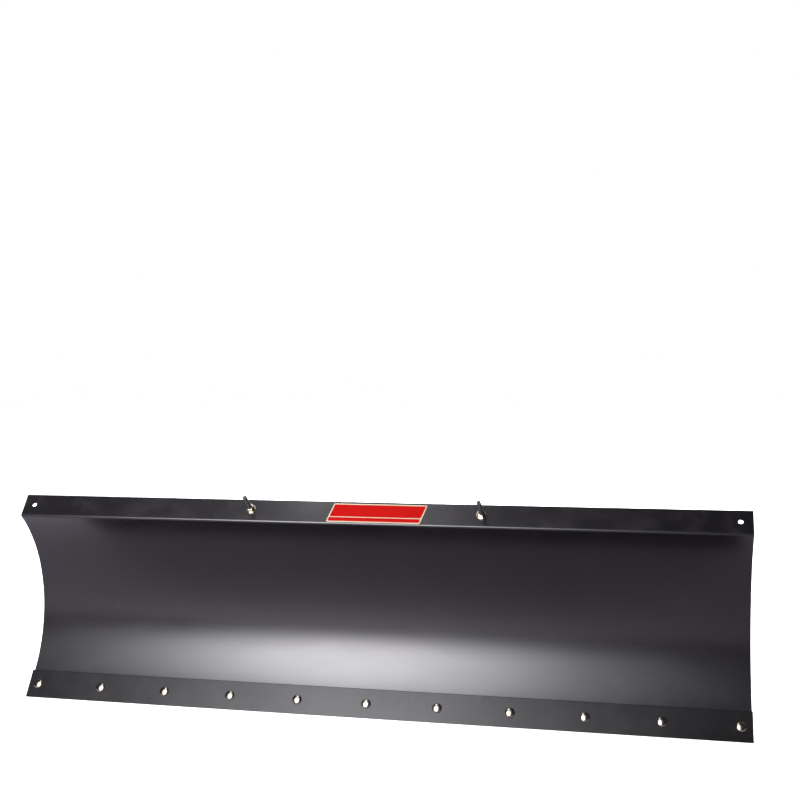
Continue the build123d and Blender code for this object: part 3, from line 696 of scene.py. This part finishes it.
def eyebolt_nuts():
    shape = Shape()
    for side in SIDES.values():
        turn = 12 if side < 0 else -9
        front = at_x(side * spring_x, eye_hole)
        nut_and_washer(shape, front, -flange_back, 11, 2.0, turn)
        nut_and_washer(shape, front + flange_back * sheet, flange_back, 11, 2.0, -turn)
    finish_piece("eyebolt_hex_nuts", shape, "blade", [zinc], ["eyebolt_nuts", "eyebolt_washers"])


def spring_eyebolt(name, side):
    """Forged round eye behind the flange, with a long thread out through its front."""
    shape = Shape()
    centre = at_x(side * spring_x, eye_centre)
    turns = [2 * pi * i / 48 for i in range(48)]
    ring = [centre - flange_back * (eye_r * cos(t)) + flange_up * (eye_r * sin(t)) for t in turns]
    shape.add(*tube(ring, bolt_r, 16, closed=True))
    neck = [(bolt_r, 0), (bolt_r, 8), (bolt_r + 0.3, 12), (bolt_r + 1.2, 15), (bolt_r + 1.6, 17)]
    shape.add(*lathe(neck, 32), frame_at(centre - flange_back * (eye_r + 17), flange_back))
    root = eye_r + 16
    shape.add(*threaded(bolt_r, root, eye_reach + stud_reach), frame_at(centre, -flange_back))
    node = f"{name}_spring_eyebolt"
    finish_piece(f"{name}_eyebolt_forging", shape, "blade", [stud_black], [node], sharp=50)


# Decal -----------------------------------------------
decal_middle, decal_wide, decal_high, decal_rake, decal_low = 28.0, 214.5, 45.0, 12.5, 5.0


def raked_panel(left, right, low, high, corner_r):
    """Rounded parallelogram, counter-clockwise, whose upright ends lean as the decal's do."""
    slope = decal_rake / decal_high
    corners = ((left, low), (right, low), (right, high), (left, high))
    points = [Vector((side + height * slope, height, 0)) for side, height in corners]
    return [(p.x, p.y) for p in rounded(points, corner_r, 4)]


def flange_decal():
    """Blank sticker: cream backing, with a red field split by one cream line near its foot."""
    origin = at_x(decal_middle, fold + flange_up * decal_low)
    place = frame_at(origin, -flange_back)
    border, line_low, line_high = 2.6, 11.5, 13.4
    left, right = -decal_wide / 2, decal_wide / 2 - decal_rake
    shape = Shape()
    backing = raked_panel(left, right, 0, decal_high, 3)
    shape.add(*prism(backing, 0.05, 0.30, 0.05, 1), place, 0)
    for low, high in ((border, line_low), (line_high, decal_high - border)):
        field = raked_panel(left + border, right - border, low, high, 1.2)
        shape.add(*prism(field, 0.25, 0.45, 0.05, 1), place, 1)
    finish_piece("blank_flange_sticker", shape, "blade", [cream_vinyl, red_vinyl], ["flange_decal"])


# Springs ---------------------------------------------
wire_r, coil_r, loop_r = 2.5, 14.5, 14.0
spring_length, anchor_r = 190.0, 6.0


def helix(radius, turns, low, high):
    """Points of a coil round local Z, from low to high."""
    per_turn = 28
    points = []
    for i in range(turns * per_turn + 1):
        turn = 2 * pi * i / per_turn
        height = low + (high - low) * i / (turns * per_turn)
        points.append(Vector((radius * cos(turn), radius * sin(turn), height)))
    return points


def hook_points(coil_end, away, start_turn):
    """Points from the last turn of a coil into a full loop round the local Y axis; away is -1 or 1."""
    middle = coil_end + away * (3 + loop_r)
    points = []
    for i in range(1, 9):
        share = i / 8
        swing = start_turn + away * share * pi * 0.5
        shrink = coil_r * (1 - share * share)
        points.append(Vector((shrink * cos(swing), shrink * sin(swing), coil_end + away * 3 * share)))
    for i in range(1, 42):
        turn = 2 * pi * 0.9 * i / 41
        points.append(Vector((-loop_r * sin(turn), 0, middle - away * loop_r * cos(turn))))
    return points


def trip_spring(name, side):
    """Close-wound extension spring, looped through the eyebolt and the post."""
    start = eye_r - bolt_r - wire_r - 0.3 + 2 * loop_r + 3
    end = spring_length - (anchor_r - wire_r - 0.9) - 2 * loop_r - 3
    turns = int((end - start) / (2 * wire_r + 0.4))
    path = hook_points(start, -1, 0)[::-1] + helix(coil_r, turns, start, end) + hook_points(end, 1, 0)
    place = frame_at(at_x(side * spring_x, eye_centre), flange_back)
    shape = Shape().add(*tube([place @ p for p in path], wire_r, 10))
    piece = finish_piece(f"{name}_trip_spring_wire", shape, None, [spring_steel], sharp=60)
    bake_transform(piece)
    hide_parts(f"{name}_trip_spring")


def lock_spring():
    """Compression spring in the lock housing, squeezed between collar and cap."""
    low, high = box_mm("lock_spring")
    centre = node_axis("lock_spring")
    foot, head = low.z + 1, high.z - 1
    place = upright(centre)
    shape = Shape().add(*tube([place @ p for p in helix(9.2, 6, foot, head)], 1.0, 8))
    piece = finish_piece("lock_spring_wire", shape, None, [spring_steel], sharp=60)
    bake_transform(piece)
    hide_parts("lock_spring")


# Skid shoes ------------------------------------------
def skid_shoe(name):
    """Pressed dish, turned about its stem, rubbed bare where it slides."""
    node = f"{name}_skid_shoe"
    boss_top = box_mm(node)[1].z
    turns = [radians(-90 + 40 * i / 6) for i in range(7)]
    belly = [(28 + 24 * cos(t), 24 + 24 * sin(t)) for t in turns]
    rim = [(57.2, 13.3), (58, 14.6), (58, 18.2), (57.2, 19), (55.6, 19), (54.6, 18.4)]
    hollow = [(36.5, 7.2), (34, 6.3), (30, 6), (19, 6), (16.2, 6.8), (15, 9)]
    boss = [(15, boss_top - 1), (14, boss_top), (stem_r + 0.4, boss_top), (stem_r, boss_top - 0.5)]
    shape = Shape().add(*lathe([(1, 0), (20, 0), *belly, *rim, *hollow, *boss], 96), upright(node_axis(node)))
    finish_piece(f"{name}_shoe_dish", shape, f"{name}_shoe", [shoe_iron], [node], sharp=38)


def ring_stack(piece_name, node, body, names, count):
    """Loose spacer washers with rounded rims, stacked on the stem of each named shoe."""
    shape = Shape()
    ring = eased_ring(stem_r + 0.4, spacer_r, 0, spacer_thick - 0.1, 0.8, 3)
    for name in names:
        for i in range(count):
            foot = box_mm(node)[0].z + spacer_thick * i
            shape.add(*lathe(ring, 56, closed=True), upright(node_axis(f"{name}_shoe_stem"), foot))
    finish_piece(piece_name, shape, body, [zinc_dull], [node])


def linch_pin(shape, place, radius, length):
    """Linch pin along local Z: bullet nose, shank, round head, and a wire ring from its head."""
    head_r, head_thick, ring_r, ring_wire = radius * 2.1, radius * 2.4, length * 0.42, 1.6
    turns = [radians(90 * i / 5) for i in range(4, -1, -1)]
    nose = [(0.2, 0.0)] + [(radius * cos(t), radius - radius * sin(t)) for t in turns]
    head = [(radius, length), (head_r - 1, length), (head_r, length + 1), (head_r, length + head_thick - 1),
            (head_r - 1, length + head_thick), (0.2, length + head_thick)]
    shape.add(*lathe(nose + [(radius, length * 0.5)] + head, 28), place)
    middle = Vector((ring_r, 0, length + head_thick / 2))
    turns = [2 * pi * i / 44 for i in range(44)]
    ring = [place @ (middle + Vector((-ring_r * cos(t), 0, ring_r * sin(t)))) for t in turns]
    shape.add(*tube(ring, ring_wire, 10, closed=True))


def shoe_pins():
    for name in SIDES:
        node = f"{name}_shoe_linch_pin"
        stem = node_axis(f"{name}_shoe_stem")
        shape = Shape()
        linch_pin(shape, frame_at((stem.x, stem.y - 16, node_axis(node).z), (0, 1, 0), (1, 0, 0)), 3.0, 34)
        finish_piece(f"{name}_shoe_pin_wire", shape, f"{name}_shoe", [zinc], [node], sharp=40)


def shoe_spacers():
    for name in SIDES:
        ring_stack(f"{name}_loose_spacers", f"{name}_shoe_spacers", f"{name}_shoe", [name], 4)
    ring_stack("spare_spacers", "stored_spacers", "blade", SIDES, 2)


moldboard()
wear_bar()
wear_bar_bolts()
wear_bar_nuts()
eyebolt_nuts()
flange_decal()
lock_spring()
shoe_pins()
shoe_spacers()
for name, side in SIDES.items():
    spring_eyebolt(name, side)
    trip_spring(name, side)
    skid_shoe(name)


# Frame pieces ----------------------------------------
def eased_copy(node):
    """Copy of a CAD node with its sharp rims rounded over; it is shown in the node's place."""
    width, rim_angle = 0.8, 28
    source = frame["nodes"][node]
    bm = bmesh.new()
    bm.from_mesh(source.data)
    bmesh.ops.remove_doubles(bm, verts=bm.verts, dist=1e-6)
    bmesh.ops.dissolve_limit(bm, angle_limit=radians(0.5), verts=bm.verts, edges=bm.edges)
    rims = [edge for edge in bm.edges if edge.is_manifold and edge.calc_face_angle(0) > radians(rim_angle)]
    bmesh.ops.bevel(bm, geom=rims, offset=width * MM, offset_type="OFFSET", segments=2, profile=0.5,
                    affect="EDGES", clamp_overlap=True)
    mesh = bpy.data.meshes.new(f"{node}_eased")
    bm.to_mesh(mesh)
    bm.free()
    mesh.materials.append(paint_cad)
    shade(mesh, usual_sharp)
    piece = show(f"{node}_eased", mesh)
    even_shading(piece)
    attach(piece, body_of_node[node])
    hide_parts(node)


members_of = frame["record"]["behaviour"]["bodies"]
body_of_node = {node: body for body, members in members_of.items() for node in members}
plates_and_tubes = [node for node in frame["nodes"] if slot_of[node] == "black_paint" and node != "moldboard"]


# Pins and bolts of the frame -------------------------
def headed_pin(shape, start, direction, length):
    """Pin from start along X either way, with a round head behind start."""
    head_r, head_thick = 12.5, 6.0
    place = frame_at(start, direction, (0, 1, 0))
    shape.add(*lathe(eased_rod(head_r, -head_thick, 0, 1.2), 48), place)
    shape.add(*lathe(eased_rod(pin_r, -1, length, 1.4), 40), place)


def cotter(shape, middle):
    """Split pin dropped down through a pin's cross hole, its legs spread at the foot."""
    half_length, wire, loop = 15.0, 0.95, 4.2
    leg = [(9.5, -half_length - 7.5), (3.2, -half_length - 1.5), (wire, -half_length + 2),
           (wire, half_length - 1)]
    turns = [radians(-70 + 320 * i / 16) for i in range(17)]
    eye = [(loop * cos(t), half_length + 4.6 + loop * sin(t)) for t in turns]
    path = leg + eye + [(-y, z) for y, z in reversed(leg)]
    shape.add(*tube([middle + Vector((0, y, z)) for y, z in path], wire, 10))


def hinge_pins():
    half = rib_half_gap + rib_thick
    pins, cotters = Shape(), Shape()
    axis = node_axis("hinge_pins")
    for side in SIDES.values():
        start = Vector((side * spring_x - side * half, axis.y, axis.z))
        headed_pin(pins, start, (side, 0, 0), 2 * half + 16)
        cotter(cotters, Vector((side * (spring_x + half + 8), axis.y, axis.z)))
    finish_piece("trip_hinge_pins", pins, "blade", [zinc_dull], ["hinge_pins"])
    finish_piece("trip_hinge_cotters", cotters, "blade", [zinc], ["hinge_cotters"], sharp=60)


def mount_pins():
    past_ears = 18.0
    pins, wires = Shape(), Shape()
    axis = node_axis("mount_pins")
    outer = box_mm("mount_pins")[1].x
    length = 2 * mount_half + past_ears
    for side in SIDES.values():
        headed_pin(pins, Vector((side * (outer - length), axis.y, axis.z)), (side, 0, 0), length)
        hole = (side * (outer - past_ears / 2), axis.y, axis.z + 12)
        linch_pin(wires, frame_at(hole, (0, 0, -1), (0, -1, 0)), 3.0, 26)
    finish_piece("pivot_pins", pins, "vehicle_mount", [zinc_dull], ["mount_pins"])
    finish_piece("pivot_pin_wires", wires, "vehicle_mount", [zinc], ["mount_linch_pins"], sharp=40)


def king_bolt():
    """King bolt with its washers and nut."""
    low, high = box_mm("king_bolt")
    centre = node_axis("king_bolt")
    washer_low, washer_high = box_mm("king_washers")
    nut_low = box_mm("king_nut")[0]
    flats, head, washer_thick, thread_over = 28.6, 12.0, 3.0, 18.0
    shape = Shape()
    shape.add(*hex_head(flats, head), upright(centre, high.z - head) @ Matrix.Rotation(radians(14), 4, "Z"))
    shape.add(*lathe(eased_rod(king_r, nut_low.z - 1, high.z - head + 1, 0.5), 40), upright(centre))
    shape.add(*threaded(king_r, 0, nut_low.z + thread_over - low.z, 2.4, 1.1, 40),
              frame_at((centre.x, centre.y, nut_low.z + thread_over), (0, 0, -1)))
    finish_piece("king_bolt_forging", shape, "push_frame", [zinc_dull], ["king_bolt"])
    rings = Shape()
    for foot in (washer_low.z, washer_high.z - washer_thick):
        ring = eased_ring(king_r + 0.3, 20, foot, foot + washer_thick, 0.5)
        rings.add(*lathe(ring, 56, closed=True), upright(centre))
    finish_piece("king_flat_washers", rings, "push_frame", [zinc], ["king_washers"])
    nut = Shape().add(*hex_nut(flats, 16, king_r + 0.05), upright(centre, nut_low.z))
    finish_piece("king_hex_nut", nut, "push_frame", [zinc], ["king_nut"])


def lock_plunger():
    """Plunger and its cross handle."""
    low, high = box_mm("lock_pin")
    collar = low.z + 44.1
    nose = [(5.9, low.z), (7.9, low.z + 2.4), (7.9, collar)]
    ring = [(12.0, collar), (12.5, collar + 0.5), (12.5, collar + 3.4), (12.0, collar + 3.9)]
    stalk = [(5, collar + 4), (5, high.z - 1.2), (4, high.z)]
    shape = Shape().add(*lathe(nose + ring + stalk, 40), upright(node_axis("lock_pin")))
    finish_piece("lock_plunger_pin", shape, "lock_plunger", [zinc_dull], ["lock_pin"])
    bar = Shape()
    bar.add(*lathe(eased_rod(3, -38, 38, 1.4), 28), frame_at(node_axis("lock_handle"), (1, 0, 0), (0, 1, 0)))
    finish_piece("lock_cross_bar", bar, "lock_plunger", [zinc], ["lock_handle"])


def shoe_stems():
    for name in SIDES:
        node = f"{name}_shoe_stem"
        low, high = box_mm(node)
        shape = Shape().add(*lathe(eased_rod(stem_r, low.z, high.z, 1.5), 48), upright(node_axis(node)))
        finish_piece(f"{name}_shoe_stem_rod", shape, f"{name}_shoe", [zinc_dull], [node])


# Weld beads ------------------------------------------
weld_r, weld_step, ripple_pitch, ripple_share = 2.3, 1.1, 4.4, 0.13


def swollen(travelled):
    """How far a ripple of weld swells or sinks, at a distance along its run."""
    return 1 + ripple_share * sin(2 * pi * travelled / ripple_pitch)


def bead(shape, start, end, radius=weld_r):
    """One straight run of rippled weld along an inside corner."""
    bead_path(shape, [Vector(start), Vector(end)], radius)


def bead_path(shape, corners, radius=weld_r):
    """Run of rippled weld from corner to corner, thin at both ends."""
    points = []
    for a, b in zip(corners, corners[1:]):
        count = max(2, int((b - a).length / weld_step))
        points += [a.lerp(b, i / count) for i in range(count)]
    points.append(corners[-1])
    length = (len(points) - 1) * weld_step

    def ripple(travelled):
        from_end = max(0.0, min(travelled, length - travelled))
        return radius * swollen(travelled) * (0.45 + 0.55 * min(1.0, from_end / 3.0))

    shape.add(*tube(points, ripple, 10))


def bead_ring(shape, centre, radius):
    """Level, closed run of weld round a pin boss or can."""
    points = [Vector(centre) + Vector(p) for p in turned([(radius, 0)], int(2 * pi * radius / weld_step))]
    shape.add(*tube(points, lambda travelled: weld_r * swollen(travelled), 10, closed=True))


def blade_welds():
    """Stitches that hold the ribs and shoe brackets to the sheet and the sleeves."""
    shape = Shape()
    rib_xs = [0.0, -rib_x, rib_x]
    for side in SIDES.values():
        rib_xs += [side * spring_x + k * (rib_half_gap + rib_thick / 2) for k in (-1, 1)]
    bracket_xs = [node_axis(f"{name}_shoe_stem").x for name in SIDES]
    foot, bracket_top, rib_top, stitch, gap = 27.0, -28.0, -42.0, 9.0, 8.5      # degrees of the roll
    for x in rib_xs + bracket_xs:
        top = bracket_top if x in bracket_xs else rib_top
        for face in (-1, 1):
            lean = foot
            while lean - stitch > top:
                leans = [lean - stitch * i / 8 for i in range(9)]
                bead_path(shape, [at_x(x + face * rib_thick / 2, on_arc(rear_radius, a)) for a in leans])
                lean -= stitch + gap
    sleeve_top = box_mm("stored_spacers")[0].z
    for name in SIDES:
        stem = node_axis(f"{name}_shoe_stem")
        for face in (-1, 1):
            x, y = stem.x + face * rib_thick / 2, stem.y - 14.7
            bead(shape, (x, y, sleeve_top - 66), (x, y, sleeve_top - 4))
    finish_piece("blade_weld_beads", shape, "blade", [weld_paint], sharp=60)


def swivel_welds():
    low, high = box_mm("swivel_beam")
    king = node_axis("king_bolt")
    shape = Shape()
    for z in (king_z - plate_half, king_z + plate_half):
        bead(shape, (-124, high.y, z), (124, high.y, z), 2.6)
        bead_ring(shape, (king.x, king.y, z), 23)
    for side in SIDES.values():
        x = side * spring_x
        for face in (-1, 1):
            bead(shape, (x + face * 11, low.y, high.z - 39), (x + face * 11, low.y, high.z - 11))
            bead(shape, (x + face * 4, low.y + 5, high.z), (x + face * 4, high.y - 5, high.z))
            bead(shape, (x + face * 4, stop_rear, stop_z - 13), (x + face * 4, stop_rear, stop_z + 13), 2.0)
            inner, y = side * (spring_x - 4), (low.y + high.y) / 2 + 3 * face
            bead(shape, (inner - side * 4, y, high.z), (inner - side * 56, y, high.z), 2.0)
            bead(shape, (inner, y, high.z + 4), (inner, y, high.z + 62), 2.0)
    finish_piece("swivel_weld_beads", shape, "swivel_frame", [weld_paint], sharp=60)


def push_frame_welds():
    low, high = box_mm("front_cross_member")
    housing_low, housing = box_mm("lock_housing")[0], node_axis("lock_housing")
    ear_low, ear_high = box_mm("lift_bracket")
    shape = Shape()
    for z in (low.z, high.z):
        bead(shape, (-108, high.y, z), (108, high.y, z))
        bead(shape, (-100, low.y, z), (100, low.y, z))
    bead_ring(shape, (housing.x, housing.y, housing_low.z), 17)
    for face in (-1, 1):
        bead(shape, (face * 5, ear_low.y + 2, ear_low.z), (face * 5, ear_high.y - 2, ear_low.z))
    half = (high.z - low.z) / 2 - 1.5
    for side in SIDES.values():
        x, z = side * tube_front_x, (low.z + high.z) / 2
        square = ((-1, -1), (1, -1), (1, 1), (-1, 1), (-1, -1))
        corners = [Vector((x + i * half, high.y, z + j * half)) for i, j in square]
        bead_path(shape, corners, 2.6)
    finish_piece("push_frame_weld_beads", shape, "push_frame", [weld_paint], sharp=60)


def mount_welds():
    low, high = box_mm("mount_ears")
    plate_low = box_mm("vehicle_plate")[0].z
    shape = Shape()
    for side in SIDES.values():
        for ear in (6 - mount_half, -mount_half, mount_half - 6, mount_half):
            x = side * pivot_x + ear
            bead(shape, (x, low.y + 3, plate_low), (x, high.y - 3, plate_low))
    finish_piece("mount_weld_beads", shape, "vehicle_mount", [weld_paint], sharp=60)


for node in plates_and_tubes:
    eased_copy(node)
hinge_pins()
mount_pins()
king_bolt()
lock_plunger()
shoe_stems()
blade_welds()
swivel_welds()
push_frame_welds()
mount_welds()


# Stage -----------------------------------------------
key_x = -0.76           # middle of the main light, in metres, and how far it spreads across and up
key_soft_x = 0.71
key_soft_y = 1.12


def floor_material(shown, bounced, glow):
    """Floor that glows pale to the camera, and throws only a little light back at the black paint."""
    n = Finish("pale_floor")
    seen = n.camera_share()
    tone = n.mix(n.patches(2.0, 3, 0.5), shown, scaled(shown, 0.985))
    n.set(colour=n.mix(seen, bounced, tone), rough=0.6, level=0.2)
    n.link(tone, n.shader.inputs["Emission Color"])
    away = n.tree.nodes.new("ShaderNodeVectorMath")
    away.operation = "LENGTH"
    n.link(n.coords, away.inputs[0])
    n.link(n.maths("MULTIPLY", seen, n.spread(away.outputs["Value"], 1.0, 4.0, glow, 1.3)),
           n.shader.inputs["Emission Strength"])
    return n.material


def floor():
    half = 30.0
    ground = min(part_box(f"{name}_skid_shoe")[0].z for name in SIDES)
    mesh = bpy.data.meshes.new("floor")
    corners = [(-half, -half), (half, -half), (half, half), (-half, half)]
    mesh.from_pydata([(x, y, min(ground, 0) - 0.0005) for x, y in corners], [], [(0, 1, 2, 3)])
    mesh.materials.append(floor_material((0.82, 0.82, 0.82), (0.40, 0.366, 0.415), 1.02))
    show("floor", mesh)


def world():
    """White room to the camera. To what reflects it: nearly dark in front of the blade, grey behind it."""
    room = bpy.data.worlds.new("studio")
    bpy.context.scene.world = room
    room.use_nodes = True
    n = Nodes(room.node_tree)
    heading = n.tree.nodes.new("ShaderNodeTexCoord").outputs["Generated"]
    behind = n.spread(n.parts(heading)["Y"], 0.1, 0.8, 0, 1)
    mirrored = n.mix(behind, (0.045, 0.042, 0.047), (0.8, 0.8, 0.81))
    n.link(n.mix(n.camera_share(), mirrored, (1, 1, 1)), n.tree.nodes["Background"].inputs["Color"])


def fade(n, place, sharpness, power):
    """Falls from 1 at the middle of a softbox, place 0.5, towards its edges, places 0 and 1."""
    off = n.maths("MULTIPLY", n.maths("ABSOLUTE", n.maths("SUBTRACT", place, 0.5)), sharpness)
    return n.maths("EXPONENT", n.maths("MULTIPLY", n.maths("POWER", off, power), -1))


def softbox(name, at, aim, wide, high, brightness, faded=False):
    """Rectangular soft light facing a point. It never shows itself to the camera.

    brightness is in watts a square metre. A faded box dies away towards its edges, and from end to end.
    """
    light = bpy.data.lights.new(name, "AREA")
    light.shape = "RECTANGLE"
    light.size = wide
    light.size_y = high
    light.energy = brightness * wide * high
    light.color = (1, 0.985, 1.03)
    if faded:
        light.use_nodes = True
        n = Nodes(light.node_tree)
        place = n.parts(n.tree.nodes.new("ShaderNodeNewGeometry").outputs["Parametric"])
        across, updown = fade(n, place["X"], wide / key_soft_x, 2), fade(n, place["Y"], high / key_soft_y, 4)
        tilt = n.spread(place["Y"], 0, 1, 1.4, 0.5)
        share = n.maths("MULTIPLY", n.maths("MULTIPLY", across, updown), tilt)
        n.link(share, n.tree.nodes["Emission"].inputs["Strength"])
    lamp = show(name, light)
    lamp.location = at
    lamp.rotation_euler = (Vector(aim) - Vector(at)).to_track_quat("-Z", "Y").to_euler()
    lamp.visible_camera = False


def key_light():
    """Large softbox in front and to the left, from just over the floor to well above the blade."""
    distance, height = 2.6, radians(31)
    aim = Vector((key_x, 0.05, 0.15))
    at = aim + Vector((0, -distance * cos(height), distance * sin(height)))
    softbox("key", at, aim, 3.0, 3.6, 67, faded=True)


def camera():
    """Eye a little right of the blade's middle and above it, looking 12.8 degrees to the left."""
    lens = bpy.data.cameras.new("view")
    lens.sensor_width = 36.0
    lens.lens = 53.1
    lens.clip_start = 0.05
    lens.clip_end = 200
    eye = show("view", lens)
    eye.location = Vector((623.2, -2404.1, 698.6)) * MM
    look = Vector((-0.22159, 0.97508, -0.01099))
    eye.rotation_euler = look.to_track_quat("-Z", "Y").to_euler()
    bpy.context.scene.camera = eye


floor()
world()
camera()
key_light()
softbox("top", (-0.6, 0.1, 2.6), (-0.4, 0.1, 0.3), 2.2, 0.7, 12)
softbox("rear_left", (-1.5, 4.2, 2.0), (-0.2, 0.4, 0.2), 3.8, 2.4, 50)
softbox("rear_right", (2.6, 3.2, 2.2), (0.2, 0.5, 0.2), 1.8, 2.2, 40)
bpy.context.scene.view_settings.view_transform = "Standard"
